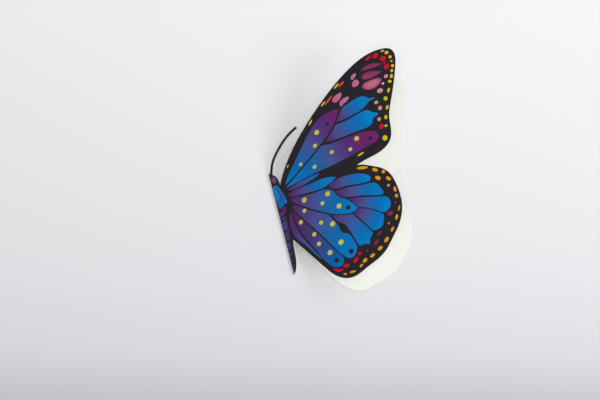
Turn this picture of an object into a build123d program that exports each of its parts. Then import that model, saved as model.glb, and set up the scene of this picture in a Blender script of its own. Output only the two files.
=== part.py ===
"""Folded greeting card die-cut as a butterfly, lying on its back leaf. Millimetres.

One sheet of card, creased once along the butterfly's body. The crease lies along Y with the head
towards +Y, the wings reach out along +X, and the underside of the back leaf is the plane Z = 0.
The origin is the middle of the crease, where the back leaf leaves the bend.
"""
from build123d import *
from math import cos, degrees, radians, sin
import os

# Card stock and its crease
card_thickness = 0.45
crease_inner_radius = 0.8
crease_angle = 36.0  # degrees between the two leaves where they leave the bend
bow_radius = 262.0  # the raised leaf is bowed upwards to this radius, at the middle of the card

# Forewing, measured on the flat sheet from the crease and from the middle of the body
forewing_reach = 122.0
forewing_rise = 108.6

# Hindwing
hindwing_reach = 95.3
hindwing_drop = 69.4

# Notches: between the two wings, between head and forewing, between abdomen and hindwing
cleft_reach = 70.1
cleft_rise = 17.1
neck_reach = 6.6
neck_rise = 29.7
waist_reach = 5.8
waist_drop = 18.4

# Body: half widths on one side of the crease, and its two ends
head_half_width = 6.1
head_rise = 44.1
abdomen_half_width = 4.5
tail_drop = 45.0

# Antenna, a free strip of the same sheet
antenna_width = 2.3
antenna_reach = 31.2
antenna_rise = 69.9
antenna_root_depth = 2.9  # its root lies this far below the crown, within the head

# How far a cutting shape runs past what it cuts
overrun = 2.0

# Outline of the forewing from the cleft round the tip to the neck, in shares of its reach and rise
forewing_edge_shares = [
    (0.679, 0.180),
    (0.756, 0.203),
    (0.817, 0.259),
    (0.842, 0.343),
    (0.854, 0.443),
    (0.892, 0.561),
    (0.952, 0.728),
    (0.989, 0.855),
    (0.999, 0.927),
    (0.982, 0.978),
    (0.923, 1.000),
    (0.812, 0.984),
    (0.667, 0.907),
    (0.476, 0.759),
    (0.321, 0.619),
    (0.175, 0.464),
    (0.100, 0.361),
]

# Outline of the hindwing from the end of its straight inner edge to the cleft, in shares of its
# reach and of its height above its lowest point
hindwing_edge_shares = [
    (0.291, 0.148),
    (0.359, 0.057),
    (0.442, 0.006),
    (0.492, 0.001),
    (0.548, 0.017),
    (0.603, 0.038),
    (0.687, 0.068),
    (0.773, 0.121),
    (0.844, 0.203),
    (0.911, 0.289),
    (0.961, 0.381),
    (0.994, 0.496),
    (1.000, 0.598),
    (0.992, 0.712),
    (0.967, 0.815),
    (0.920, 0.885),
    (0.856, 0.935),
    (0.794, 0.977),
]

# Side of the head from neck to crown, in shares of its half width and of its height above the neck
head_side_shares = [(0.98, 0.36), (0.74, 0.65), (0.24, 0.88)]

# Side of the abdomen from tail to waist, in shares of its half width and of its length
abdomen_side_shares = [(0.22, 0.04), (0.64, 0.21), (0.90, 0.43), (1.00, 0.71)]

# Middle line of the antenna from its root to its tip, in shares of its reach and of its height
antenna_line_shares = [
    (0.040, 0.000),
    (0.046, 0.067),
    (0.088, 0.197),
    (0.140, 0.327),
    (0.215, 0.440),
    (0.411, 0.647),
    (0.635, 0.827),
    (0.853, 0.947),
    (1.000, 1.000),
]

# The leaf's bow: its whole turn, and how far it stands above its own chord
leaf_turn = degrees(forewing_reach / bow_radius)
chord_angle = crease_angle - leaf_turn / 2
bow_height = bow_radius * (1 - cos(radians(leaf_turn / 2)))
crease_middle_radius = crease_inner_radius + card_thickness / 2
crease_centre = Vector(0, crease_inner_radius + card_thickness)
hindwing_height = cleft_rise + hindwing_drop
abdomen_length = tail_drop - waist_drop
antenna_root = head_rise - antenna_root_depth

# Directions in the XZ section: square to the raised leaf where it leaves the crease
leaf_normal = Vector(-sin(radians(crease_angle)), cos(radians(crease_angle)))
leaf_start = crease_centre + leaf_normal * crease_middle_radius
bow_centre = leaf_start - leaf_normal * bow_radius


def along_sheet(reach):
    """Place of a length on the flat back leaf."""
    return reach


def along_chord(reach):
    """Place, on the raised leaf's chord, of a length measured along its bow."""
    half_turn = radians(leaf_turn / 2)
    return bow_radius * (sin(half_turn) - sin(half_turn - reach / bow_radius))


def leaf_outline(along):
    """The die-cut outline of one leaf, with its straight side on the crease."""
    cleft = (along(cleft_reach), cleft_rise)
    neck = (along(neck_reach), neck_rise)
    waist = (along(waist_reach), -waist_drop)
    crown = (along(0), head_rise)
    tail = (along(0), -tail_drop)
    forewing = [(along(x * forewing_reach), y * forewing_rise) for x, y in forewing_edge_shares]
    hindwing = [
        (along(x * hindwing_reach), y * hindwing_height - hindwing_drop)
        for x, y in hindwing_edge_shares
    ]
    head = [
        (along(x * head_half_width), neck_rise + y * (head_rise - neck_rise))
        for x, y in head_side_shares
    ]
    abdomen = [
        (along(x * abdomen_half_width), y * abdomen_length - tail_drop)
        for x, y in abdomen_side_shares
    ]
    antenna = [
        (along(x * antenna_reach), antenna_root + y * (antenna_rise - antenna_root))
        for x, y in antenna_line_shares
    ]
    with BuildSketch() as outline:
        with BuildLine():
            Spline(tail, *abdomen, waist)
            Line(waist, hindwing[0])
            Spline(*hindwing, cleft)
            Spline(cleft, *forewing, neck)
            Spline(neck, *head, crown)
            Line(crown, tail)
        make_face()
        with BuildLine():
            Spline(*antenna)
        trace(line_width=antenna_width)
        with Locations(antenna[-1]):
            Circle(antenna_width / 2)
    return outline.sketch


with BuildPart() as butterfly_card:
    # Raised leaf: a strip of card bowed along its whole width, then cut to the outline
    with BuildSketch(Plane.XZ):
        with BuildLine():
            strip_turn = degrees((forewing_reach + overrun) / bow_radius)
            strip_end = 90 + crease_angle - strip_turn
            top = CenterArc(bow_centre, bow_radius + card_thickness / 2, strip_end, strip_turn)
            under = CenterArc(bow_centre, bow_radius - card_thickness / 2, strip_end, strip_turn)
            Line(top @ 0, under @ 0)
            Line(top @ 1, under @ 1)
        make_face()
    extrude(amount=forewing_rise + overrun, both=True)
    chord_plane = Plane(
        origin=(leaf_start.X, 0, leaf_start.Y),
        x_dir=(cos(radians(chord_angle)), 0, sin(radians(chord_angle))),
        z_dir=(-sin(radians(chord_angle)), 0, cos(radians(chord_angle))),
    )
    with BuildSketch(chord_plane):
        add(leaf_outline(along_chord))
        with Locations((-overrun / 2, (head_rise - tail_drop) / 2)):
            Rectangle(overrun, head_rise + tail_drop)
    extrude(amount=bow_height + card_thickness + overrun, both=True, mode=Mode.INTERSECT)

    # Crease: the sheet's bend, from tail to crown
    with BuildSketch(Plane.XZ.offset(tail_drop)):
        with BuildLine():
            bend_start = 90 + crease_angle
            bend_turn = 180 - crease_angle
            outside = CenterArc(
                crease_centre, crease_inner_radius + card_thickness, bend_start, bend_turn
            )
            inside = CenterArc(crease_centre, crease_inner_radius, bend_start, bend_turn)
            Line(outside @ 0, inside @ 0)
            Line(outside @ 1, inside @ 1)
        make_face()
    extrude(amount=-(tail_drop + head_rise))

    # Back leaf: the same outline, flat on the table
    with BuildSketch():
        add(leaf_outline(along_sheet))
    extrude(amount=card_thickness)

butterfly_card.part.label = "butterfly_card"
os.makedirs("parts", exist_ok=True)
export_step(butterfly_card.part, "parts/butterfly_card.step")
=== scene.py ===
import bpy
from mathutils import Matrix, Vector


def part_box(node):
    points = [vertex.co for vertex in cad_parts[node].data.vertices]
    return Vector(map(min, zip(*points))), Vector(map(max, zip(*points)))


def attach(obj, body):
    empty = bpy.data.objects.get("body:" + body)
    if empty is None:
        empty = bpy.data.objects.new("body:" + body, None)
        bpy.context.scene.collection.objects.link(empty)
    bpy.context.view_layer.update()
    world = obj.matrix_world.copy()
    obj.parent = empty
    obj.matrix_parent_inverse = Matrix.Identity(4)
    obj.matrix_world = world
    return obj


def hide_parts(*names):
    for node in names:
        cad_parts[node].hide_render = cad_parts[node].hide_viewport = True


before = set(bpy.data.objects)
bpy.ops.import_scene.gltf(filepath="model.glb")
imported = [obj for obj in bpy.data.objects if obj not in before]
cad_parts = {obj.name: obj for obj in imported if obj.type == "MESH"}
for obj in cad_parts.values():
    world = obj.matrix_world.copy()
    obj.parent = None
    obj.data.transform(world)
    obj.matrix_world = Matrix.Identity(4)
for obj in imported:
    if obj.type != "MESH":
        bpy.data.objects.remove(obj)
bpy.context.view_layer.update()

import math

import bmesh
import bpy
from bpy.props import FloatProperty, FloatVectorProperty, IntProperty, PointerProperty
from mathutils import Color, Matrix, Vector
from mathutils.geometry import interpolate_bezier

bl_info = {
    "name": "Butterfly card",
    "version": (1, 0, 0),
    "blender": (4, 5, 0),
    "location": "View3D > Sidebar > Card",
    "description": "A folded card die-cut as a butterfly, printed outside and bare inside",
    "category": "Add Mesh",
}

CARD_NODE = "butterfly_card"

# The print is drawn on one leaf, 122 units from the crease to the wing's tip. A place is its
# distance from the crease and its height above the middle of the body. The other leaf has the
# mirror image.
LEAF_UNITS = 122.0
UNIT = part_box(CARD_NODE)[1].x / LEAF_UNITS

# Cells of the wings. "fade" is the run of their blended colour: a place and its share of the blend,
# 0 for the magenta end and 1 for the bright blue end, and the same for a second place.
CELLS = [
    {   # forewing, along its front edge
        "outline": [
            (10.8, 27.6), (20, 31.1), (30, 36.2), (40, 41.8), (47, 46.2), (53, 50.2), (57.5, 53.9),
            (62, 58.6), (65.5, 63.8), (68.7, 69.2), (66.5, 70.1), (55, 69.7), (50, 67.9),
            (45, 64.4), (40, 59.9), (30, 49.4), (20, 39), (13.5, 32.2),
        ],
        "fade": ((12, 29, 1.0), (64, 68, 0.0)),
        "lemon": [(47, 57.8, 2.1), (42.9, 47.5, 1.7), (27.7, 38, 1.5)],
        "black": [(56.7, 60.9, 1.4)],
    },
    {   # forewing, below the main vein
        "outline": [
            (10, 24.9), (14, 26.9), (20, 29.7), (30, 34.7), (40, 40.3), (45.5, 43.8), (48.6, 45.2),
            (52, 44.1), (56, 43.4), (65, 43.2), (75, 43), (82, 42.4), (87.5, 41.3), (91, 38.8),
            (92.3, 35.6), (91, 32), (88, 30.2), (79, 28.7), (70, 26.8), (60, 25.6), (50, 25),
            (38, 25.1), (25, 24.9),
        ],
        "fade": ((20, 28, 1.0), (80, 36, 0.0)),
        "lemon": [(38.1, 30.4, 1.6), (54.4, 36.1, 1.6), (68.8, 32.1, 1.6), (75.7, 38.9, 2.0)],
        "black": [(85.8, 35.1, 1.6)],
    },
    {   # forewing, middle of the outer part
        "outline": [
            (51, 46.4), (56, 50.8), (60, 54.3), (63.2, 57.1), (67.5, 57.1), (74, 57.6),
            (80, 58.8), (87, 59.8), (90.2, 59.3), (91.5, 57.8), (93.2, 56.2), (96.2, 54.6),
            (96.9, 53.4), (96.1, 52.1), (93.3, 51.5), (92, 50.2), (91, 47.8), (89, 45.9),
            (85, 44.7), (78, 44.7), (60, 45),
        ],
        "fade": ((50, 46, 0.1), (87, 53.2, 0.98)),
    },
    {   # forewing, top of the outer part
        "outline": [
            (63.9, 58.9), (66, 62.5), (69.5, 67), (72, 69.5), (76, 70.8), (83, 72.6), (87, 73),
            (90, 72.2), (92.2, 70.6), (93.6, 69.1), (97.2, 68.5), (97.8, 67.8), (97.2, 67.1),
            (94, 66.8), (91.5, 65.3), (88, 62.6), (83, 60.6), (77, 59.7), (70, 58.9),
        ],
        "fade": ((63, 59, 0.1), (88, 69, 1.0)),
    },
    {   # forewing, sliver along its rear edge
        "outline": [
            (11, 23.1), (15, 23.9), (30, 24.2), (37, 24), (41.2, 23.3), (38.5, 22.2),
            (35, 21.1), (30, 20.5), (25, 20.2), (20, 20.3), (15, 20.9),
        ],
        "fade": ((12, 22, 0.1), (38, 23, 0.92)),
    },
    {   # hindwing, narrow cell along its front edge
        "outline": [
            (10.8, 18.3), (12.5, 19.4), (30, 18.6), (40, 18.2), (46, 17.1), (50.5, 15.5),
            (52.5, 14.1), (48.5, 12.2), (43.5, 10.6), (40, 10.1), (36, 10.5), (30, 11.6),
            (22.5, 13.2), (14.5, 15),
        ],
        "fade": ((11, 18, 0.05), (44, 14, 1.0)),
    },
    {   # hindwing, long middle cell
        "outline": [
            (11.9, 13.2), (13.8, 14.1), (20, 12.4), (30, 10.2), (38, 9.1), (42, 8.5),
            (45.2, 6.5), (47.8, 3.6), (49.1, 0.4), (51, -2.8), (54.6, -5.9), (57.2, -8.8),
            (62.4, -17.3), (60.5, -18.6), (57.3, -19.3), (52.5, -18.5), (46, -15.9),
            (40.5, -12.8), (34, -7.9), (27.3, -2.4), (22.5, 2), (18, 6.2), (14.1, 9.9),
        ],
        "fade": ((12, 13, 0.14), (56, -13, 0.95)),
        "lemon": [(23.1, 7.8, 2.1), (42.5, 3.9, 2.0), (36.5, -1.7, 1.6), (48.6, -9.8, 2.0)],
        "black": [(55.2, -14, 1.8)],
    },
    {   # hindwing, outer cells in order from the front
        "outline": [
            (44.5, 9.2), (46.4, 10.8), (50, 12), (54.6, 12.7), (60, 12.2), (65.8, 11),
            (70.8, 9.2), (75, 6.8), (77.6, 3.9), (77.7, 1.8), (76.2, 0.5), (73.3, 0.4),
            (66, 1.7), (58, 3.8), (49.2, 5),
        ],
        "fade": ((45, 9, 0.1), (74, 4, 1.0)),
    },
    {
        "outline": [
            (48.6, 3.4), (52.5, 3), (59.2, 2), (66, 0.5), (72, -0.8), (77, -1.4), (80, -2.9),
            (81.9, -5.8), (83.3, -9.7), (84.1, -12.6), (83, -14.3), (80, -13.8), (74, -11.6),
            (67.5, -8.9), (60, -6.7), (56.5, -5.6), (53.2, -3.4), (50.4, -0.7),
        ],
        "fade": ((49, 2, 0.1), (80, -8, 0.96)),
    },
    {
        "outline": [
            (56.9, -7.3), (60, -7.9), (66, -9.8), (74, -12.8), (80.5, -15), (84, -16.4),
            (86.4, -18.8), (87.1, -21.4), (86.5, -24.6), (84.5, -27.5), (81.5, -28.9),
            (79, -28.2), (75.5, -25.3), (71, -21.9), (66.5, -19), (63.5, -17.4),
            (61.3, -14.3), (59, -10.3),
        ],
        "fade": ((58, -9, 0.1), (80, -21, 0.9)),
    },
    {
        "outline": [
            (57.4, -20.3), (60.8, -19.1), (62.7, -18.2), (65.5, -19.2), (69.5, -21.7),
            (74, -25), (77.5, -28.1), (79.3, -30.3), (79.2, -32.3), (78.2, -35.6),
            (76.6, -38.6), (74, -40.2), (70, -40.5), (68, -39.2), (66, -35.4),
            (63.5, -30.4), (60.8, -25.4),
        ],
        "fade": ((58.5, -19.5, 0.12), (73, -34, 0.85)),
    },
    {
        "outline": [
            (40.9, -14.3), (48.3, -17.6), (54, -19.7), (56.6, -20.3), (59.3, -24.7),
            (62, -29.6), (65, -35.2), (67.2, -39.8), (67.8, -42), (67, -43.5), (64.7, -45.5),
            (64.2, -48), (63.4, -49.8), (61.8, -48.7), (59.5, -47.9), (56.5, -48.2),
            (55.3, -46.9), (54, -42.2), (51, -31.3), (49.6, -26.8), (46.8, -24),
            (44, -20.8), (42.2, -17.4),
        ],
        "fade": ((43, -17, 0.24), (61, -38, 0.79)),
    },
    {   # hindwing, long cells beside the body, the widest first
        "outline": [
            (12.2, 9.1), (15.9, 6.7), (20.5, 2.6), (25, -1.7), (30, -5.9), (35, -9.8),
            (38.4, -12.3), (40.2, -15.8), (42.2, -19.9), (44.2, -24.7), (45, -29.8),
            (46.4, -32.2), (49.2, -33.7), (51, -35.7), (52.2, -39.6), (53.4, -44.4),
            (53.7, -47.5), (52.8, -50.6), (50.6, -53.2), (48, -54.4), (45.6, -53.8),
            (42.6, -50.9), (39.5, -46.2), (31.2, -30), (22.5, -13.9), (14.9, -0.4),
            (12.8, 4.8),
        ],
        "fade": ((13, 8, 0.14), (45, -42, 0.86)),
        "lemon": [(20.9, -0.7, 1.7), (31.5, -16.4, 1.7), (40, -21.6, 2.1), (42.7, -38.7, 2.1)],
        "black": [(48.4, -49.3, 2.0)],
    },
    {
        "outline": [
            (11.3, 6.4), (13.2, 1.2), (16, -4), (24, -18.4), (32.7, -34.8), (37.3, -43.9),
            (40.6, -49.3), (41.6, -52.3), (41, -54.9), (39.2, -56.7), (36.6, -57.1),
            (33, -55.9), (30, -53), (27.2, -48.4), (24.3, -42), (21.2, -34.5),
            (17.8, -26.3), (14.8, -19), (12.6, -11.4), (11.3, -4), (10.8, 2),
        ],
        "ink": "dusk",
        "fade": ((12, -2, 0.0), (36, -47, 0.85)),
        "lemon": [(15.7, -8.2, 1.8), (23.8, -22.9, 1.8), (25.5, -32.1, 1.8), (32.2, -42.9, 2.0)],
        "black": [(35.8, -51.3, 1.9)],
    },
    {
        "outline": [
            (9.4, 5.2), (9.9, 0.9), (10.4, -5.4), (11.8, -13.2), (14, -20.6), (17.6, -28.8),
            (21.3, -37), (25, -44.6), (24.4, -45.1), (20.4, -38.5), (16.6, -31.4), (12.8, -25),
            (9.6, -20.6), (7.4, -16.4), (6.5, -12), (6.2, -8), (6.7, -3), (7.8, 1.5),
        ],
        "fade": ((7, -3, 0.06), (15, -30, 0.54)),
    },
]

# Patches: pink and plum near the forewing's tip, one on the head and a red one on the hindwing.
# Here the blend's 0 is the strong colour and 1 the dusty one, and "centre" is an oval where it is
# at 1.
PATCHES = [
    {
        "ink": "pink",
        "outline": [
            (84.2, 90.4), (84.4, 92.6), (86, 94.2), (88.9, 94.9), (89, 93.6), (87.6, 91.4),
            (85.9, 89.8),
        ],
        "fade": ((84.5, 90, 0.3), (89, 95, 1.0)),
    },
    {
        "ink": "pink",
        "outline": [
            (83.4, 85.1), (84.7, 87.6), (86.8, 89), (88.6, 88.6), (89.5, 86.7), (89, 84.2),
            (86.8, 82.8), (84.6, 83),
        ],
        "fade": ((84, 85, 0.0), (90, 87, 1.0)),
    },
    {
        "ink": "pink",
        "outline": [
            (65.3, 78.3), (66.6, 80.6), (70, 82.4), (73.9, 82.9), (73.9, 80.8), (72, 78),
            (69.4, 76.2), (66.6, 76.4),
        ],
        "fade": ((66, 78, 0.0), (73, 82, 1.0)),
    },
    {
        "ink": "pink",
        "outline": [
            (70.3, 71.4), (70.6, 74.4), (72.6, 76.3), (75.6, 77), (78.6, 77), (78.5, 75.4),
            (76.2, 73.4), (73.4, 72.2), (71.4, 70.6),
        ],
        "fade": ((71, 73, 0.0), (78, 76, 1.2)),
    },
    {
        "ink": "plum",
        "outline": [
            (92.8, 94.6), (95, 96.4), (97.6, 97.8), (101, 98.5), (105, 97.8), (110.3, 95.6),
            (108, 94.6), (102, 94.3),
        ],
        "fade": ((101, 93, 0.1), (101, 99, 0.0)),
    },
    {
        "ink": "plum",
        "outline": [
            (92.5, 88.8), (93.4, 90.6), (95.4, 91.8), (98, 92.2), (101.6, 91.4), (108.8, 88.5),
            (104, 86.8), (99, 85.9), (95.4, 86.2), (93, 87.4),
        ],
        "fade": ((101, 86, 0.22), (101, 92, 0.04)),
    },
    {
        "ink": "plum",
        "outline": [
            (90.6, 80.6), (91.8, 82.5), (95, 83.8), (99, 84.1), (105, 83.8), (106.9, 82.3),
            (106.2, 80.4), (103, 77.6), (99, 76), (94.8, 76.4), (91.6, 78.6),
        ],
        "fade": ((98, 76, 0.3), (98, 84, 0.3)),
        "centre": (98.6, 80.4, 3.2, 1.2, 14),
    },
    {
        "ink": "head",
        "outline": [
            (0.2, 39.4), (1.2, 40.6), (2.6, 40.1), (3.8, 38.9), (4.6, 37.4), (5.1, 35.4),
            (5, 33.6), (3.4, 33), (1.5, 33.1), (0.3, 34.9),
        ],
        "centre": (2.5, 37.2, 1.9, 0.9, 74),
    },
    {
        "ink": "red",
        "outline": [
            (31.4, -56.4), (33.2, -57.3), (35.5, -58.6), (38.1, -59.6), (38.9, -60.5),
            (36.4, -61.1), (34.5, -60.5), (32.7, -58.9),
        ],
    },
]

# Spots as ovals: place, half length, half width, and the turn of the length in degrees
SPOTS = {
    "yellow": [
        (16.9, 41.8, 1.3, 0.6, 50), (44.2, 68.4, 2.6, 0.75, 46), (57.9, 79.3, 2.5, 0.75, 34),
        (71.8, 89.8, 2.8, 0.8, 32), (113.8, 106.4, 1.4, 0.8, 10), (116.4, 103.9, 1.6, 1.4, 50),
        (118.1, 99.1, 1.4, 1.2, 70), (117.8, 90.7, 1.5, 1.1, 75), (116.2, 86.6, 1.4, 1.1, 60),
        (114.7, 81.9, 1.9, 1.1, 75), (112.3, 77.7, 1.4, 1.3, 0), (109.5, 70.4, 2.1, 1.0, 62),
        (105.5, 64.1, 1.9, 1.5, 90), (104.7, 56.1, 2.0, 1.0, 58), (101.6, 48.2, 1.8, 1.2, 80),
        (99.8, 40.9, 1.2, 1.0, 0), (96.5, 31, 2.3, 1.9, 80), (75.4, 24.8, 2.8, 0.8, 14),
    ],
    "orange": [
        (118.1, 95.1, 1.0, 0.9, 0), (73.7, 13.1, 4.3, 1.25, -18), (82.5, 7.7, 2.4, 1.4, -45),
        (88.1, 3.8, 1.5, 1.3, 90), (82.9, 0.2, 2.5, 1.5, -48), (90.3, -3.2, 2.3, 1.3, -58),
        (88.9, -8.8, 1.2, 1.0, 60), (92.7, -13.6, 2.2, 1.0, 86), (92.4, -19.3, 1.6, 1.2, 90),
        (91.7, -29.7, 2.3, 0.7, 64), (88.1, -36.2, 2.2, 1.0, 64), (82.6, -44.5, 2.1, 1.0, 50),
        (76.3, -51, 2.4, 1.4, 44), (70, -55.8, 2.1, 1.4, 22), (63.1, -59.1, 2.1, 1.3, 20),
        (56.6, -60.6, 2.1, 1.4, 34), (52.9, -63.3, 1.6, 0.95, 30), (45.5, -65.3, 2.6, 0.9, -12),
        (39.3, -64.5, 1.5, 0.7, -24),
    ],
    "vermilion": [(62.8, 80.5, 4.7, 0.7, 37), (76, 89.8, 3.0, 0.8, 31)],
    "red": [
        (101.8, 104.1, 3.1, 0.9, 33),
        (107.5, 103.9, 2.5, 1.8, 42), (112.3, 99.5, 2.3, 2.1, 40), (112.5, 95.4, 1.4, 0.5, 18),
        (113.3, 91.5, 2.5, 1.8, 52), (96.4, 41.5, 2.1, 1.6, 70),
        (41.9, -58.6, 2.4, 1.4, -8), (50, -57.3, 2.5, 1.4, 46), (54.2, -53.7, 1.3, 1.2, 0),
    ],
    "salmon": [
        (110.7, 83.2, 1.8, 1.5, 40), (103.1, 72.3, 2.4, 2.0, 10), (97.8, 63.3, 1.6, 1.4, 30),
        (99.4, 57.5, 1.9, 1.5, 70), (96.3, 48.3, 1.7, 1.4, 80), (81.3, -38.9, 0.8, 0.65, 60),
    ],
    "lilac": [(106.9, 77.7, 1.1, 0.9, 40)],
    "plum": [
        (84.3, -31.5, 2.2, 1.7, 0), (90.2, -24.5, 0.9, 0.8, 0), (72.5, -44.1, 2.4, 0.9, 30),
        (68.4, -50.1, 2.5, 1.2, 42), (60.4, -53.8, 0.9, 0.6, 70),
    ],
}

# Body, one half of it. The band is drawn on each half, and the other outlines are closed by their
# mirror image across the crease.
THORAX = [
    (1.4, 31.8), (2.8, 31.6), (4, 30.7), (5.1, 28.2), (6, 25.3), (6.8, 22.6), (7.7, 19.4),
    (8.4, 16.3), (8.8, 13.7), (8.2, 13.1), (6.4, 13), (4.6, 12.3), (3, 11.3), (1.8, 10.7),
    (1.1, 11.2), (0.7, 12.6), (0.3, 14.8),
]
THORAX_FADE = ((0, 14, 0.8), (9, 26, 1.1))
THORAX_BAND = [
    (1.8, 29.8), (2.3, 29.4), (3.3, 26.8), (4.2, 24.4), (5, 22.4), (6.1, 20), (5.5, 19.2),
    (4.4, 18.5), (3.2, 17.8), (2.9, 18.5), (4.2, 19.7), (4.7, 20.9), (4.2, 22.6), (2.9, 26.6),
]
THORAX_BAND_FADE = ((1.5, 30, 0.36), (5, 17, 0.16))
THORAX_CORE = [
    (0.5, 30), (0.9, 28.4), (1.6, 26.4), (2.6, 23.6), (3.3, 22), (3.4, 20.8), (2.6, 19.9),
    (1.9, 18.8), (1.9, 17.2), (1.7, 16), (0.5, 15.6),
]
THORAX_CORE_FADE = ((-1, 15, 0.5), (3, 20, 0.98))
WAIST = [
    (0.4, 8.3), (2.2, 8.6), (3.8, 9.8), (5.4, 11.1), (6.2, 10.4), (5.8, 8), (5, 5.4),
    (4.2, 4.6), (2.4, 4.5), (0.6, 4.1),
]
WAIST_FADE = ((0.5, 6, 0.3), (3.6, 8, 0.0))
ABDOMEN = [
    (0.6, 2.9), (2.8, 3.2), (4.2, 3.2), (4.5, 0), (4.5, -6), (4.6, -12), (4.4, -17), (4, -22),
    (3.6, -27), (3, -32.5), (2.2, -37.5), (1.3, -41.3), (0.4, -43.2),
]
ABDOMEN_FADE = ((0, 4, 0.0), (10.75, 2.8, 1.0))
ABDOMEN_RINGS = [(0.4, 5.4), (-8.9, 5.3), (-18, 5.1), (-25.8, 4.7), (-32.2, 4.1), (-36.8, 3.2)]
RING_HALF_WIDTH = 1.1

# How outlines are drawn. The first two are in the print's units.
STEP_UNITS = 1.2  # about one point to this length
VEIN_MARGIN = 0.13  # how far a cell's edge is drawn back from the given places
CORNER_TURN = math.radians(52)  # a sharper turn than this stays a corner
EDGE_TURN = math.radians(40)  # faces that meet at more than this are shaded apart
OVAL_SEGMENTS = 20

INKS = [
    "black", "blend", "dusk", "head", "thorax", "body", "pink", "plum", "lemon", "yellow", "orange",
    "vermilion", "red", "salmon", "lilac",
]
BARE = len(INKS)
# Material of the cut edges, whose colour holds painted shade as well as the edge's own tone
EDGE = BARE + 1


def colour(name, description, red, green, blue):
    """A colour property, given as it looks on a screen, from 0 to 255."""
    return FloatVectorProperty(
        name=name,
        description=description,
        subtype="COLOR_GAMMA",
        min=0.0,
        max=1.0,
        default=(red / 255, green / 255, blue / 255),
    )


def metres(name, description, value, least=0.0):
    """A length property."""
    return FloatProperty(
        name=name, description=description, default=value, min=least, unit="LENGTH", precision=6,
    )


def degrees(name, description, value):
    """An angle property."""
    return FloatProperty(
        name=name, description=description, default=math.radians(value), subtype="ANGLE",
        unit="ROTATION",
    )


def share(name, description, value):
    """A property from 0 to 1."""
    return FloatProperty(
        name=name, description=description, default=value, min=0.0, max=1.0, subtype="FACTOR",
    )


def watts(name, description, value):
    """A property for a lamp's power."""
    return FloatProperty(
        name=name, description=description, default=value, min=0.0, unit="POWER",
    )


class CardSizes(bpy.types.PropertyGroup):
    """Sizes of the card stock, its crease and its bow."""

    thickness: metres("Thickness", "Thickness of the card stock", 0.00045, 0.0001)
    crease_radius: metres("Crease radius", "Radius inside the bend", 0.0008, 0.0001)
    crease_angle: degrees("Crease angle", "Angle between the leaves where they leave the bend", 36)
    bow_radius: metres("Bow radius", "Radius to which the raised leaf is bowed", 0.262, 0.05)
    bow_strip: metres("Bow strip", "Width of the strips that follow the bow", 0.004, 0.001)
    bend_strips: IntProperty(
        name="Bend strips", description="Strips round the crease, an even number",
        default=18, min=4, step=2,
    )


class PrintColours(bpy.types.PropertyGroup):
    """Colours of the inks and of the bare card."""

    black: colour("Black", "Ground of the wings and their veins", 35, 33, 38)
    magenta: colour("Magenta", "Magenta end of the cells' blend", 106, 35, 103)
    purple: colour("Purple", "Next step of the blend", 82, 45, 114)
    indigo: colour("Indigo", "Middle of the blend", 76, 76, 140)
    mid_blue: colour("Mid blue", "Where the blend turns blue", 38, 97, 164)
    deep_blue: colour("Deep blue", "Last step before the blue end", 0, 109, 179)
    bright_blue: colour("Bright blue", "Blue end of the cells' blend", 0, 123, 192)
    head_edge: colour("Head edge", "Rim of the head", 72, 22, 72)
    head_centre: colour("Head centre", "Soft centre of the head", 116, 79, 119)
    dusk_plum: colour("Dusk plum", "Root of the hindwing's lowest long cell", 78, 40, 92)
    dusk_violet: colour("Dusk violet", "Middle of that cell", 66, 58, 117)
    dusk_blue: colour("Dusk blue", "Low part of that cell", 10, 91, 165)
    abdomen_side: colour("Abdomen side", "Abdomen beside the crease", 72, 72, 132)
    abdomen_middle: colour("Abdomen middle", "Abdomen between crease and rim", 72, 62, 118)
    abdomen_rim: colour("Abdomen rim", "Abdomen beside its black edge", 74, 46, 98)
    tail: colour("Tail", "Rear end of the abdomen", 38, 32, 54)
    thorax_blue: colour("Thorax blue", "Brightest blue, on the thorax", 0, 140, 218)
    hot_pink: colour("Hot pink", "Inner end of the pink patches", 193, 86, 144)
    dusty_pink: colour("Dusty pink", "Outer end of the pink patches", 180, 116, 148)
    plum: colour("Plum", "Plum patches and spots", 120, 40, 86)
    rose: colour("Rose", "Rim of the palest plum patch", 184, 72, 126)
    tan: colour("Tan", "Soft centre of that patch", 177, 116, 120)
    lemon: colour("Lemon", "Spots in the cells", 206, 191, 72)
    yellow: colour("Yellow", "Spots on the forewing's margin", 216, 182, 26)
    orange: colour("Orange", "Spots on the hindwing's margin", 216, 148, 22)
    vermilion: colour("Vermilion", "Two dashes on the forewing's front edge", 236, 76, 38)
    red: colour("Red", "Spots near the tips of both wings", 216, 4, 34)
    salmon: colour("Salmon", "Inner spots of the forewing's margin", 208, 140, 134)
    lilac: colour("Lilac", "Palest spot of the forewing", 200, 184, 206)
    bare: colour("Bare card", "Unprinted inside", 236, 236, 231)
    # The cut edge's colour is partly the raw edge's own darker tone and partly painted shade,
    # standing in for the thin shadow along the leaf's edge
    cut_edge: colour("Cut edge", "Edge of the card along the cut", 178, 174, 166)


class PaperFinish(bpy.types.PropertyGroup):
    """How the printed and the bare side look close up."""

    ink_roughness: share("Ink roughness", "Satin of the printed side", 0.5)
    bare_roughness: share("Bare roughness", "Dullness of the bare side", 0.82)
    sheen: share("Sheen", "How strongly the card mirrors its surroundings", 0.07)
    grain: metres("Grain", "Size of the paper's grain", 0.00035, 0.00005)
    grain_depth: metres("Grain depth", "Height of the paper's grain", 0.000012)
    crease_wear: share("Crease wear", "Share of the ink that is cracked along the crease", 0.12)
    # Painted shade: a black band down the bend stands in for the shade where the bend turns away
    # from the lamps
    painted_fold_shade: share("Fold line", "How dark the black line down the fold is", 0.85)


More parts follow.
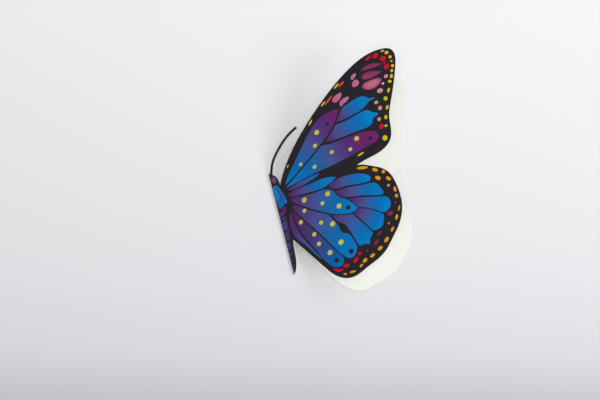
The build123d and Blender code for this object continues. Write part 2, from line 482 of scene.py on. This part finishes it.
class StageSettings(bpy.types.PropertyGroup):
    """Floor, light and camera."""

    # The floor's colour in five steps along the view: painted shade, dark near the camera and pale
    # beyond the card, in place of the light's falloff
    floor_shade_near: colour("Floor, near", "Table top nearest the camera", 181, 182, 188)
    floor_shade_front: colour("Floor, front", "Table top before the card", 210, 210, 215)
    floor_shade_edge: colour("Floor, edge", "Table top at the card's front edge", 221, 221, 224)
    floor_shade_middle: colour("Floor, middle", "Table top under the card", 229, 229, 231)
    floor_shade_far: colour("Floor, far", "Table top beyond the card", 244, 244, 246)
    backdrop: colour("Backdrop", "What the camera sees past the floor", 244, 244, 246)
    sky_strength: FloatProperty(
        name="Sky strength", description="Soft light from all round", default=0.5, min=0.0,
    )
    front_power: watts("Front power", "Power of the lamp beside the camera", 5.8)
    front_size: metres("Front size", "Side of that lamp", 0.4, 0.05)
    front_distance: metres("Front distance", "From the card to that lamp", 1.5, 0.1)
    side_power: watts("Side power", "Power of the lamp that casts the long shadow", 10.3)
    side_size: metres("Side size", "Side of that lamp", 0.7, 0.05)
    side_distance: metres("Side distance", "From the card to that lamp", 1.7, 0.1)
    side_height: degrees("Side height", "Angle of that lamp above the table", 35)
    side_turn: degrees("Side turn", "Turn of that lamp from +X, towards +Y", -49)
    right_power: watts("Right power", "Power of the large lamp at the right", 22.3)
    right_size: metres("Right size", "Side of that lamp", 2.0, 0.05)
    right_distance: metres("Right distance", "From the card to that lamp", 3.4, 0.1)
    right_height: degrees("Right height", "Angle of that lamp above the table", 48)
    right_turn: degrees("Right turn", "Turn of that lamp from +X, towards +Y", 5)
    view_height: degrees("View height", "Angle of the camera above the table", 59.5)
    view_turn: degrees("View turn", "Turn of the view from +Y, towards +X", 12.757)
    view_distance: metres(
        "View distance", "From the camera to the middle of the picture", 1.3005, 0.1
    )
    view_middle: FloatVectorProperty(
        name="View middle", description="Place on the table in the middle of the picture",
        size=2, default=(0.01729, 0.0172), unit="LENGTH", precision=5,
    )
    focal_length: FloatProperty(
        name="Focal length", description="Lens of the camera, in millimetres", default=102.0,
        min=10.0,
    )


def linear(value):
    """A screen colour as the scene's own light values, with full alpha."""
    shade = Color(value).from_srgb_to_scene_linear()
    return (shade.r, shade.g, shade.b, 1.0)


# Sheet of card, drawn flat, printed, given its thickness and bent

def half_bend(sizes):
    """Half the length of sheet that the crease takes up."""
    return (sizes.crease_radius + sizes.thickness / 2) * (math.pi - sizes.crease_angle) / 2


def smooth_loop(points):
    """Points along a closed line through the given ones, smooth but for its corners."""
    knots = [Vector(point) for point in points]
    count = len(knots)
    directions = []
    for i, knot in enumerate(knots):
        before = knot - knots[i - 1]
        after = knots[(i + 1) % count] - knot
        corner = before.angle(after) > CORNER_TURN
        along = (before.normalized() + after.normalized()).normalized()
        directions.append((before.normalized(), after.normalized()) if corner else (along, along))
    line = []
    for i, knot in enumerate(knots):
        following = knots[(i + 1) % count]
        reach = (following - knot).length
        steps = max(2, math.ceil(reach / (STEP_UNITS * UNIT)))
        line += interpolate_bezier(
            knot,
            knot + directions[i][1] * reach / 3,
            following - directions[(i + 1) % count][0] * reach / 3,
            following,
            steps + 1,
        )[:-1]
    return line


def drawn_back(line, margin):
    """A closed line moved inwards by a small margin."""
    count = len(line)
    turn = sum(line[i - 1].cross(line[i]) for i in range(count))
    inwards = Matrix.Rotation(math.copysign(math.pi / 2, turn), 2)
    return [
        point + inwards @ (line[(i + 1) % count] - line[i - 1]).normalized() * margin
        for i, point in enumerate(line)
    ]


def blend_at(fade, place):
    """Share of the blend at a place, given its run, on either leaf."""
    (x0, y0, share0), (x1, y1, share1) = fade
    run = Vector((x1 - x0, y1 - y0))
    along = (place - Vector((x0, y0))).dot(run) / run.length_squared
    return share0 + (share1 - share0) * along


class Sheet:
    """The flat sheet while it is being drawn: one mesh with a loop of edges round each shape."""

    def __init__(self, sizes):
        self.sizes = sizes
        self.fold = half_bend(sizes)
        self.mesh = bmesh.new()
        self.fade = self.mesh.verts.layers.float.new("fade")

    def to_sheet(self, place, side):
        """Place on the sheet, from a place on the leaf and the leaf's side."""
        return Vector((side * (place[0] * UNIT + self.fold), place[1] * UNIT))

    def to_leaf(self, position):
        """Place on the leaf, from a place on the sheet."""
        return Vector(((abs(position.x) - self.fold) / UNIT, position.y / UNIT))

    def set_fade(self, verts, fade):
        """Give points their share of the blend: one for all, or from its run."""
        for vert in verts:
            if isinstance(fade, float):
                vert[self.fade] = fade
            else:
                vert[self.fade] = blend_at(fade, self.to_leaf(vert.co))

    def loop(self, points, fade=0.0, margin=0.0):
        """Edges of a closed smooth line through places on the sheet, or just inside them."""
        line = drawn_back(smooth_loop(points), margin * UNIT)
        verts = [self.mesh.verts.new((p.x, p.y, 0)) for p in line]
        self.set_fade(verts, fade)
        return [self.mesh.edges.new((verts[i - 1], verts[i])) for i in range(len(verts))]

    def oval(self, spot, side, fade=0.0):
        """Edges of an oval. A spot is its place, half length, half width and turn."""
        x, y, half_length, half_width, turn = spot
        middle = self.to_sheet((x, y), side)
        place = Matrix.Translation((middle.x, middle.y, 0))
        place @= Matrix.Rotation(math.radians(turn) * side, 4, "Z")
        place @= Matrix.Diagonal((half_length * UNIT, half_width * UNIT, 1, 1))
        verts = bmesh.ops.create_circle(
            self.mesh, cap_ends=False, segments=OVAL_SEGMENTS, radius=1.0, matrix=place
        )["verts"]
        self.set_fade(verts, fade)
        return list(dict.fromkeys(edge for vert in verts for edge in vert.link_edges))

    def fill(self, edges, ink):
        """Faces inside the outermost of these loops and outside the others."""
        made = bmesh.ops.triangle_fill(
            self.mesh, use_beauty=True, edges=edges, normal=(0, 0, 1)
        )["geom"]
        for face in made:
            if isinstance(face, bmesh.types.BMFace):
                face.material_index = INKS.index(ink)
                if face.normal.z < 0:
                    face.normal_flip()

    def outline(self):
        """Edges of the die-cut outline, from the underside of the frame's flat leaf."""
        mesh = self.mesh
        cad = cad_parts[CARD_NODE].data
        mesh.from_mesh(cad)
        bmesh.ops.remove_doubles(mesh, verts=mesh.verts[:], dist=self.sizes.thickness / 100)
        near = self.sizes.thickness / 10
        above = [v for v in mesh.verts if v.co.z > near or v.co.x < -near]
        bmesh.ops.delete(mesh, geom=above, context="VERTS")
        on_crease = [
            e for e in mesh.edges if not e.is_boundary or all(v.co.x < near for v in e.verts)
        ]
        bmesh.ops.delete(mesh, geom=mesh.faces[:], context="FACES_ONLY")
        bmesh.ops.delete(mesh, geom=on_crease, context="EDGES")
        bmesh.ops.translate(mesh, verts=mesh.verts[:], vec=(self.fold, 0, 0))
        for vert in mesh.verts:
            vert.co.z = 0
        bmesh.ops.mirror(mesh, geom=mesh.verts[:] + mesh.edges[:], axis="X", merge_dist=0)
        ends = [v for v in mesh.verts if len(v.link_edges) == 1]
        for up in (True, False):
            mesh.edges.new([v for v in ends if (v.co.y > 0) == up])
        return mesh.edges[:]

    def cell(self, cell, side):
        """One printed cell with its dots. Returns the edges of its outline."""
        ink = cell.get("ink", "blend")
        places = [self.to_sheet(place, side) for place in cell["outline"]]
        fade = cell.get("fade", 0.0)
        outer = self.loop(places, fade, VEIN_MARGIN if ink in ("blend", "dusk") else 0.0)
        holes = []
        for dot_ink in ("lemon", "black"):
            for x, y, radius in cell.get(dot_ink, []):
                dot = self.oval((x, y, radius, radius, 0), side, fade)
                self.fill(dot, dot_ink)
                holes += dot
        if "centre" in cell:
            centre = self.oval(cell["centre"], side, 1.0)
            self.fill(centre, ink)
            holes += centre
        self.fill(outer + holes, ink)
        return outer

    def across(self, half, fade, ink, holes=()):
        """A shape on both sides of the crease. Returns the edges of its outline."""
        places = [self.to_sheet(place, 1) for place in half]
        places += [self.to_sheet(place, -1) for place in reversed(half)]
        outer = self.loop(places, fade)
        self.fill(outer + list(holes), ink)
        return outer

    def draw(self):
        """Fill the whole outline with its printed shapes."""
        ground = self.outline()
        for side in (1, -1):
            for cell in CELLS + PATCHES:
                ground += self.cell(cell, side)
            for ink, spots in SPOTS.items():
                for spot in spots:
                    oval = self.oval(spot, side)
                    self.fill(oval, ink)
                    ground += oval
        bands = []
        for side in (1, -1):
            places = [self.to_sheet(place, side) for place in THORAX_BAND]
            band = self.loop(places, THORAX_BAND_FADE)
            self.fill(band, "blend")
            bands += band
        bands += self.across(THORAX_CORE, THORAX_CORE_FADE, "thorax")
        ground += self.across(THORAX, THORAX_FADE, "thorax", bands)
        ground += self.across(WAIST, WAIST_FADE, "blend")
        rings = []
        for height, reach in ABDOMEN_RINGS:
            crease = -self.fold / UNIT
            ring = self.oval((crease, height, reach, RING_HALF_WIDTH, 0), 1, ABDOMEN_FADE)
            self.fill(ring, "black")
            rings += ring
        ground += self.across(ABDOMEN, ABDOMEN_FADE, "body", rings)
        self.fill(ground, "black")

    def cut_strips(self):
        """Cut the sheet along the crease's direction, finely where it bends."""
        steps = self.sizes.bend_strips
        cuts = [self.fold * (2 * i / steps - 1) for i in range(steps + 1)]
        strips = math.ceil(LEAF_UNITS * UNIT / self.sizes.bow_strip)
        cuts += [self.fold + self.sizes.bow_strip * i for i in range(1, strips)]
        for cut in cuts:
            bmesh.ops.bisect_plane(
                self.mesh,
                geom=self.mesh.verts[:] + self.mesh.edges[:] + self.mesh.faces[:],
                dist=UNIT / 1000,
                plane_co=(cut, 0, 0),
                plane_no=(1, 0, 0),
            )

    def map_sheet(self):
        """Keep each face corner's place on the flat sheet, in metres, as a UV map."""
        layer = self.mesh.loops.layers.uv.new("sheet")
        for face in self.mesh.faces:
            for corner in face.loops:
                corner[layer].uv = corner.vert.co.xy

    def thicken(self):
        """Give the sheet its thickness, half to each side, with bare back and edges."""
        printed = self.mesh.faces[:]
        made = bmesh.ops.extrude_face_region(
            self.mesh, geom=printed, use_keep_orig=True
        )["geom"]
        back = [v for v in made if isinstance(v, bmesh.types.BMVert)]
        thickness = self.sizes.thickness
        bmesh.ops.translate(self.mesh, verts=self.mesh.verts[:], vec=(0, 0, thickness / 2))
        bmesh.ops.translate(self.mesh, verts=back, vec=(0, 0, -thickness))
        printed = set(printed)
        back = set(back)
        for face in self.mesh.faces:
            if face not in printed:
                face.material_index = BARE if back.issuperset(face.verts) else EDGE
        bmesh.ops.recalc_face_normals(self.mesh, faces=self.mesh.faces[:])

    def bend(self):
        """Bend the flat slab round its crease and bow the raised leaf."""
        sizes = self.sizes
        opening = sizes.crease_angle
        middle_radius = sizes.crease_radius + sizes.thickness / 2
        centre = Vector((0, sizes.crease_radius + sizes.thickness))
        for vert in self.mesh.verts:
            along, height, out = vert.co
            if along > self.fold:
                angle = opening - (along - self.fold) / sizes.bow_radius
                normal = Vector((-math.sin(angle), math.cos(angle)))
                start = Vector((-math.sin(opening), math.cos(opening)))
                place = centre + start * middle_radius + (normal - start) * sizes.bow_radius
            elif along < -self.fold:
                normal = Vector((0, -1))
                place = Vector((-along - self.fold, sizes.thickness / 2))
            else:
                angle = opening + (self.fold - along) / middle_radius
                normal = Vector((-math.sin(angle), math.cos(angle)))
                place = centre + normal * middle_radius
            place += normal * out
            vert.co = (place.x, height, place.y)


def make_card_mesh(sizes):
    """The printed card as one closed mesh, in the frame's own place."""
    sheet = Sheet(sizes)
    sheet.draw()
    sheet.cut_strips()
    sheet.map_sheet()
    sheet.thicken()
    sheet.bend()
    mesh = bpy.data.meshes.new("printed_card")
    for face in sheet.mesh.faces:
        face.smooth = True
    sheet.mesh.to_mesh(mesh)
    sheet.mesh.free()
    mesh.set_sharp_from_angle(angle=EDGE_TURN)
    return mesh


# Materials

# Noise on the sheet, in waves to the metre
INK_CLOUD_WAVES = 90.0
CRACK_WAVES = 1500.0
CARD_CLOUD_WAVES = 60.0
FIBRE_WAVES = 900.0
CROSSING_WAVES = 1100.0

CARD_GRAIN_WAVES = 0.7  # the bare side's grain, as a share of the ink's

# The part of a noise that is used, and the factors on the colour at its two ends
NOISE_RANGE = (0.3, 0.7)
SPECK_RANGE = (0.35, 0.65)
FELT_RANGE = (0.7, 1.3)
INK_CLOUD_TONE = (0.94, 1.06)
INK_SPECK_TONE = (0.97, 1.03)
CARD_CLOUD_TONE = (0.985, 1.0)
FELT_TONE = (0.975, 1.0)

# Reach of the black band of painted shade down the fold and of the cracks, in shares of half the
# bend
FOLD_SHADE_REACH = (0.9, 1.35)
CRACK_REACH = (0.2, 1.1)

# Cracks show where their noise is above a limit, which comes down as the wear goes up
CRACK_LIMIT = 0.5
CRACK_RANGE = 0.16
CRACK_SOFTNESS = 0.05
CRACK_STRENGTH = 2.0

CRACK_ROUGHNESS = 0.3  # what a crack adds to the ink's roughness
INK_UNEVENNESS = 0.05  # how far the roughness of each side goes up and down
CARD_UNEVENNESS = 0.06
FIBRE_WEIGHT = 0.5  # the fibres' part of the felt, beside the grain
RELIEF_STRENGTH = 0.6


def new_material(name):
    """A material with only a Principled shader, and its node tree."""
    material = bpy.data.materials.new(name)
    material.use_nodes = True
    return material, material.node_tree, material.node_tree.nodes["Principled BSDF"]


def new_group(name, ink):
    """A node group from a plain colour to a colour, a roughness and a height, and its ends."""
    group = bpy.data.node_groups.new(name, "ShaderNodeTree")
    group.interface.new_socket(ink, in_out="INPUT", socket_type="NodeSocketColor")
    for socket, kind in (("Colour", "Color"), ("Roughness", "Float"), ("Height", "Float")):
        group.interface.new_socket(socket, in_out="OUTPUT", socket_type="NodeSocket" + kind)
    return group, group.nodes.new("NodeGroupInput"), group.nodes.new("NodeGroupOutput")


def sheet_place(tree):
    """The place on the flat sheet, in metres."""
    place = tree.nodes.new("ShaderNodeUVMap")
    place.uv_map = "sheet"
    return place.outputs["UV"]


def sheet_noise(tree, scale, detail, stretch=(1, 1, 1), turn=0.0):
    """Noise that lies on the sheet, with so many waves to the metre."""
    mapping = tree.nodes.new("ShaderNodeMapping")
    mapping.inputs["Scale"].default_value = stretch
    mapping.inputs["Rotation"].default_value = (0, 0, turn)
    noise = tree.nodes.new("ShaderNodeTexNoise")
    noise.inputs["Scale"].default_value = scale
    noise.inputs["Detail"].default_value = detail
    tree.links.new(sheet_place(tree), mapping.inputs["Vector"])
    tree.links.new(mapping.outputs["Vector"], noise.inputs["Vector"])
    return noise.outputs["Fac"]


def spread(tree, value, low, high, to_low, to_high):
    """Map a value from one range to another, held within it."""
    node = tree.nodes.new("ShaderNodeMapRange")
    node.inputs["From Min"].default_value = low
    node.inputs["From Max"].default_value = high
    node.inputs["To Min"].default_value = to_low
    node.inputs["To Max"].default_value = to_high
    tree.links.new(value, node.inputs["Value"])
    return node.outputs["Result"]


def calculate(tree, operation, first, second):
    """Two values, sockets or numbers, put through one mathematical operation."""
    node = tree.nodes.new("ShaderNodeMath")
    node.operation = operation
    for socket, value in zip(node.inputs, (first, second)):
        if isinstance(value, float):
            socket.default_value = value
        else:
            tree.links.new(value, socket)
    return node.outputs["Value"]


def toned(tree, colour_in, factor):
    """A colour made lighter or darker by a factor."""
    node = tree.nodes.new("ShaderNodeVectorMath")
    node.operation = "SCALE"
    tree.links.new(colour_in, node.inputs[0])
    tree.links.new(factor, node.inputs["Scale"])
    return node.outputs["Vector"]


def covered(tree, factor, under, over):
    """A colour with a fixed one over it, by a factor."""
    node = tree.nodes.new("ShaderNodeMix")
    node.data_type = "RGBA"
    factor_in, under_in, over_in = (node.inputs[i] for i in (0, 6, 7))
    tree.links.new(factor, factor_in)
    tree.links.new(under, under_in)
    over_in.default_value = over
    return node.outputs[2]


def ramp_colour(tree, value, shades):
    """A colour from a row of places and colours, by a value from 0 to 1."""
    ramp = tree.nodes.new("ShaderNodeValToRGB")
    stops = ramp.color_ramp.elements
    while len(stops) < len(shades):
        stops.new(1.0)
    for stop, (place, shade) in zip(stops, shades):
        stop.position = place
        stop.color = linear(shade)
    tree.links.new(value, ramp.inputs["Fac"])
    return ramp.outputs["Color"]


def ink_group(finish, sizes, black, bare):
    """Satin ink on card: mottled colour, a black band of painted shade down the fold, and its
    cracks.
    """
    group, ends_in, ends_out = new_group("satin_ink", "Ink")
    grain = sheet_noise(group, 1 / finish.grain, detail=3.0)
    cloud = sheet_noise(group, INK_CLOUD_WAVES, detail=4.0)
    tone = calculate(
        group,
        "MULTIPLY",
        spread(group, cloud, *NOISE_RANGE, *INK_CLOUD_TONE),
        spread(group, grain, *SPECK_RANGE, *INK_SPECK_TONE),
    )
    ink = toned(group, ends_in.outputs["Ink"], tone)

    split = group.nodes.new("ShaderNodeSeparateXYZ")
    group.links.new(sheet_place(group), split.inputs["Vector"])
    away = calculate(group, "ABSOLUTE", split.outputs["X"], 0.0)
    fold = half_bend(sizes)
    # Painted shade: black laid over the ink down the bend of the fold, where the bend is in shade
    shade_from, shade_to = (reach * fold for reach in FOLD_SHADE_REACH)
    line = spread(group, away, shade_from, shade_to, finish.painted_fold_shade, 0.0)
    ink = covered(group, line, ink, black)

    cracks_from, cracks_to = (reach * fold for reach in CRACK_REACH)
    near = spread(group, away, cracks_from, cracks_to, 1.0, 0.0)
    cracks = sheet_noise(group, CRACK_WAVES, detail=4.0, stretch=(2.4, 0.6, 1))
    limit = CRACK_LIMIT + CRACK_RANGE * (1 - finish.crease_wear)
    cracked = spread(group, cracks, limit, limit + CRACK_SOFTNESS, 0.0, 1.0)
    worn = calculate(group, "MULTIPLY", near, cracked)
    worn = calculate(group, "MULTIPLY", worn, finish.crease_wear * CRACK_STRENGTH)
    ink = covered(group, worn, ink, bare)

    smooth = finish.ink_roughness - INK_UNEVENNESS
    dull = finish.ink_roughness + INK_UNEVENNESS
    rough = calculate(
        group,
        "ADD",
        spread(group, grain, *NOISE_RANGE, smooth, dull),
        calculate(group, "MULTIPLY", worn, CRACK_ROUGHNESS),
    )
    height = calculate(group, "SUBTRACT", grain, worn)
    group.links.new(ink, ends_out.inputs["Colour"])
    group.links.new(rough, ends_out.inputs["Roughness"])
    group.links.new(height, ends_out.inputs["Height"])
    return group


def dress(tree, shader, group, finish):
    """Put a group's outputs on the shader, its height through a bump."""
    bump = tree.nodes.new("ShaderNodeBump")
    bump.inputs["Strength"].default_value = RELIEF_STRENGTH
    bump.inputs["Distance"].default_value = finish.grain_depth
    shader.inputs["Specular IOR Level"].default_value = finish.sheen
    tree.links.new(group.outputs["Colour"], shader.inputs["Base Color"])
    tree.links.new(group.outputs["Roughness"], shader.inputs["Roughness"])
    tree.links.new(group.outputs["Height"], bump.inputs["Height"])
    tree.links.new(bump.outputs["Normal"], shader.inputs["Normal"])


def ink_material(name, shades, group, finish):
    """An ink of one colour, or of a blend of several from 0 to 1."""
    material, tree, shader = new_material(name + "_ink")
    printed = tree.nodes.new("ShaderNodeGroup")
    printed.node_tree = group
    if len(shades) == 1:
        printed.inputs["Ink"].default_value = linear(shades[0][1])
    else:
        fade = tree.nodes.new("ShaderNodeAttribute")
        fade.attribute_name = "fade"
        blended = ramp_colour(tree, fade.outputs["Fac"], shades)
        tree.links.new(blended, printed.inputs["Ink"])
    dress(tree, shader, printed, finish)
    return material


def bare_group(finish):
    """Uncoated card: faint fibres and their slight relief."""
    group, ends_in, ends_out = new_group("bare_fibres", "Card")
    grain = sheet_noise(group, CARD_GRAIN_WAVES / finish.grain, detail=4.0)
    fibres = sheet_noise(
        group, FIBRE_WAVES, detail=3.0, stretch=(1, 0.16, 1), turn=math.radians(24)
    )
    crossing = sheet_noise(
        group, CROSSING_WAVES, detail=3.0, stretch=(0.2, 1, 1), turn=math.radians(-10)
    )
    cloud = sheet_noise(group, CARD_CLOUD_WAVES, detail=3.0)
    felt = grain
    for strands in (fibres, crossing):
        strands = calculate(group, "MULTIPLY", strands, FIBRE_WEIGHT)
        felt = calculate(group, "ADD", strands, felt)
    tone = calculate(
        group,
        "MULTIPLY",
        spread(group, felt, *FELT_RANGE, *FELT_TONE),
        spread(group, cloud, *NOISE_RANGE, *CARD_CLOUD_TONE),
    )
    card = toned(group, ends_in.outputs["Card"], tone)
    smooth = finish.bare_roughness - CARD_UNEVENNESS
    dull = finish.bare_roughness + CARD_UNEVENNESS
    rough = spread(group, felt, *FELT_RANGE, smooth, dull)
    group.links.new(card, ends_out.inputs["Colour"])
    group.links.new(rough, ends_out.inputs["Roughness"])
    group.links.new(felt, ends_out.inputs["Height"])
    return group


def bare_material(name, shade, group, finish):
    """Card without ink, in one shade."""
    material, tree, shader = new_material(name)
    card = tree.nodes.new("ShaderNodeGroup")
    card.node_tree = group
    card.inputs["Card"].default_value = linear(shade)
    dress(tree, shader, card, finish)
    return material


def ink_shades(c):
    """Each ink's colours with their places in its blend."""
    blends = {
        "blend": [
            (0.0, c.magenta), (0.2, c.purple), (0.42, c.indigo), (0.62, c.mid_blue),
            (0.8, c.deep_blue), (1.0, c.bright_blue),
        ],
        "dusk": [
            (0.0, c.dusk_plum), (0.42, c.dusk_violet), (0.85, c.dusk_blue), (1.0, c.deep_blue),
        ],
        "head": [(0.0, c.head_edge), (1.0, c.head_centre)],
        "thorax": [(0.5, c.mid_blue), (0.8, c.deep_blue), (0.96, c.thorax_blue)],
        "body": [
            (0.0, c.abdomen_side), (0.36, c.abdomen_middle), (0.46, c.abdomen_rim), (0.6, c.tail),
        ],
        "pink": [(0.0, c.hot_pink), (1.0, c.dusty_pink)],
        "plum": [(0.0, c.plum), (0.5, c.rose), (1.0, c.tan)],
    }
    return [blends[ink] if ink in blends else [(0.0, getattr(c, ink))] for ink in INKS]


class CARD_OT_make_card(bpy.types.Operator):
    """Make the printed card in place of the frame's plain one"""

    bl_idname = "card.make_card"
    bl_label = "Make card"

    def execute(self, context):
        scene = context.scene
        finish = scene.card_finish
        colours = scene.card_colours
        card = bpy.data.objects.new("folded_card", make_card_mesh(scene.card_sizes))
        scene.collection.objects.link(card)
        group = ink_group(
            finish, scene.card_sizes, linear(colours.black), linear(colours.bare)
        )
        for ink, shades in zip(INKS, ink_shades(colours)):
            card.data.materials.append(ink_material(ink, shades, group, finish))
        fibres = bare_group(finish)
        card.data.materials.append(bare_material("bare_card", colours.bare, fibres, finish))
        # Cut edges: their own darker tone plus painted shade for the thin shadow along the leaf's
        # edge
        card.data.materials.append(bare_material("cut_edge", colours.cut_edge, fibres, finish))
        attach(card, "root")
        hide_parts(CARD_NODE)
        return {"FINISHED"}


# Stage

FLOOR_HALF_SIDE = 3.0
FLOOR_GAP = 0.00004  # a hair's breadth, so that floor and card don't share a plane
FLOOR_ROUGHNESS = 0.9
FLOOR_SHEEN = 0.2
# The floor's painted shade runs along the view, from dark near the camera to pale beyond the card
FLOOR_SHADE_RUN = (-0.16, 0.2)  # where the floor's shades begin and end, in metres along the view
FLOOR_SHADE_STOPS = (0.0, 0.14, 0.3, 0.5, 1.0)
SKY_TINT = (0.985, 0.99, 1.0, 1.0)


def make_floor(settings):
    """A pale table top just under the card, with painted shade that darkens it towards the camera.
    """
    mesh = bpy.data.meshes.new("table_top")
    shape = bmesh.new()
    bmesh.ops.create_grid(
        shape, x_segments=1, y_segments=1, size=FLOOR_HALF_SIDE,
        matrix=Matrix.Translation((0, 0, -FLOOR_GAP)),
    )
    shape.to_mesh(mesh)
    shape.free()
    floor = bpy.data.objects.new("table_top", mesh)
    material, tree, shader = new_material("table_top")
    shader.inputs["Roughness"].default_value = FLOOR_ROUGHNESS
    shader.inputs["Specular IOR Level"].default_value = FLOOR_SHEEN
    place = tree.nodes.new("ShaderNodeTexCoord")
    away = tree.nodes.new("ShaderNodeVectorMath")
    away.operation = "DOT_PRODUCT"
    away.inputs[1].default_value = (
        math.sin(settings.view_turn), math.cos(settings.view_turn), 0
    )
    tree.links.new(place.outputs["Object"], away.inputs[0])
    run = spread(tree, away.outputs["Value"], *FLOOR_SHADE_RUN, 0.0, 1.0)
    shades = (
        settings.floor_shade_near, settings.floor_shade_front, settings.floor_shade_edge, settings.floor_shade_middle,
        settings.floor_shade_far,
    )
    # Painted shade: the floor's colour darkens towards the camera
    shaded_floor_colour = ramp_colour(tree, run, list(zip(FLOOR_SHADE_STOPS, shades)))
    tree.links.new(shaded_floor_colour, shader.inputs["Base Color"])
    mesh.materials.append(material)
    return floor


def make_world(settings):
    """Even light from all round, with a pale backdrop for the camera and for gloss."""
    world = bpy.data.worlds.new("soft_room")
    world.use_nodes = True
    tree = world.node_tree
    light = tree.nodes["Background"]
    light.inputs["Color"].default_value = SKY_TINT
    light.inputs["Strength"].default_value = settings.sky_strength
    seen = tree.nodes.new("ShaderNodeBackground")
    seen.inputs["Color"].default_value = linear(settings.backdrop)
    path = tree.nodes.new("ShaderNodeLightPath")
    mixed = tree.nodes.new("ShaderNodeMixShader")
    direct = path.outputs["Is Camera Ray"]
    for ray in ("Is Glossy Ray", "Is Transmission Ray"):
        direct = calculate(tree, "ADD", direct, path.outputs[ray])
    tree.links.new(direct, mixed.inputs["Fac"])
    tree.links.new(light.outputs["Background"], mixed.inputs[1])
    tree.links.new(seen.outputs["Background"], mixed.inputs[2])
    tree.links.new(mixed.outputs["Shader"], tree.nodes["World Output"].inputs["Surface"])
    return world


def heading(turn, height):
    """Direction with this turn from +X and this angle above the table."""
    return Vector((
        math.cos(turn) * math.cos(height), math.sin(turn) * math.cos(height), math.sin(height)
    ))


def towards_camera(settings):
    """Direction from the middle of the picture to the camera."""
    return heading(-math.pi / 2 - settings.view_turn, settings.view_height)


def aim(thing, target):
    """Point a lamp or a camera at a place, upright."""
    thing.rotation_euler = (target - thing.location).to_track_quat("-Z", "Y").to_euler()


def make_lamps(settings, middle):
    """Three square soft lamps: beside the camera, lower down, and large at the right."""
    lamps = []
    for name, direction in (
        ("front", towards_camera(settings)),
        ("side", heading(settings.side_turn, settings.side_height)),
        ("right", heading(settings.right_turn, settings.right_height)),
    ):
        light = bpy.data.lights.new(name + "_lamp", "AREA")
        light.energy = getattr(settings, name + "_power")
        light.size = getattr(settings, name + "_size")
        lamp = bpy.data.objects.new(name + "_lamp", light)
        lamp.location = middle + direction * getattr(settings, name + "_distance")
        aim(lamp, middle)
        lamps.append(lamp)
    return lamps


def make_camera(settings, middle):
    """The camera at the photograph's angle."""
    lens = bpy.data.cameras.new("camera")
    lens.lens = settings.focal_length
    camera = bpy.data.objects.new("camera", lens)
    camera.location = middle + towards_camera(settings) * settings.view_distance
    aim(camera, middle)
    return camera


class CARD_OT_make_stage(bpy.types.Operator):
    """Make the table top, the light and the camera"""

    bl_idname = "card.make_stage"
    bl_label = "Make stage"

    def execute(self, context):
        scene = context.scene
        settings = scene.card_stage
        middle = Vector((*settings.view_middle, 0))
        floor = make_floor(settings)
        camera = make_camera(settings, middle)
        for thing in (floor, camera, *make_lamps(settings, middle)):
            scene.collection.objects.link(thing)
        scene.world = make_world(settings)
        scene.camera = camera
        scene.view_settings.view_transform = "Standard"
        return {"FINISHED"}


class CARD_PT_sidebar(bpy.types.Panel):
    """Sizes, colours and the two steps that make the scene"""

    bl_idname = "CARD_PT_sidebar"
    bl_label = "Butterfly card"
    bl_space_type = "VIEW_3D"
    bl_region_type = "UI"
    bl_category = "Card"

    def draw(self, context):
        for title, group in (
            ("Card", context.scene.card_sizes),
            ("Colours", context.scene.card_colours),
            ("Paper", context.scene.card_finish),
            ("Stage", context.scene.card_stage),
        ):
            box = self.layout.box()
            box.label(text=title)
            for name in group.__annotations__:
                box.prop(group, name)
        for operator in (CARD_OT_make_card, CARD_OT_make_stage):
            self.layout.operator(operator.bl_idname)


CLASSES = (
    CardSizes, PrintColours, PaperFinish, StageSettings,
    CARD_OT_make_card, CARD_OT_make_stage, CARD_PT_sidebar,
)


def register():
    """Add the classes and their settings to Blender."""
    for cls in CLASSES:
        bpy.utils.register_class(cls)
    bpy.types.Scene.card_sizes = PointerProperty(type=CardSizes)
    bpy.types.Scene.card_colours = PointerProperty(type=PrintColours)
    bpy.types.Scene.card_finish = PointerProperty(type=PaperFinish)
    bpy.types.Scene.card_stage = PointerProperty(type=StageSettings)


def unregister():
    """Take them out again."""
    del bpy.types.Scene.card_stage
    del bpy.types.Scene.card_finish
    del bpy.types.Scene.card_colours
    del bpy.types.Scene.card_sizes
    for cls in reversed(CLASSES):
        bpy.utils.unregister_class(cls)


def main():
    """Make everything: register the classes, then make the card and the stage."""
    register()
    bpy.ops.card.make_card()
    bpy.ops.card.make_stage()


if __name__ == "__main__":
    main()
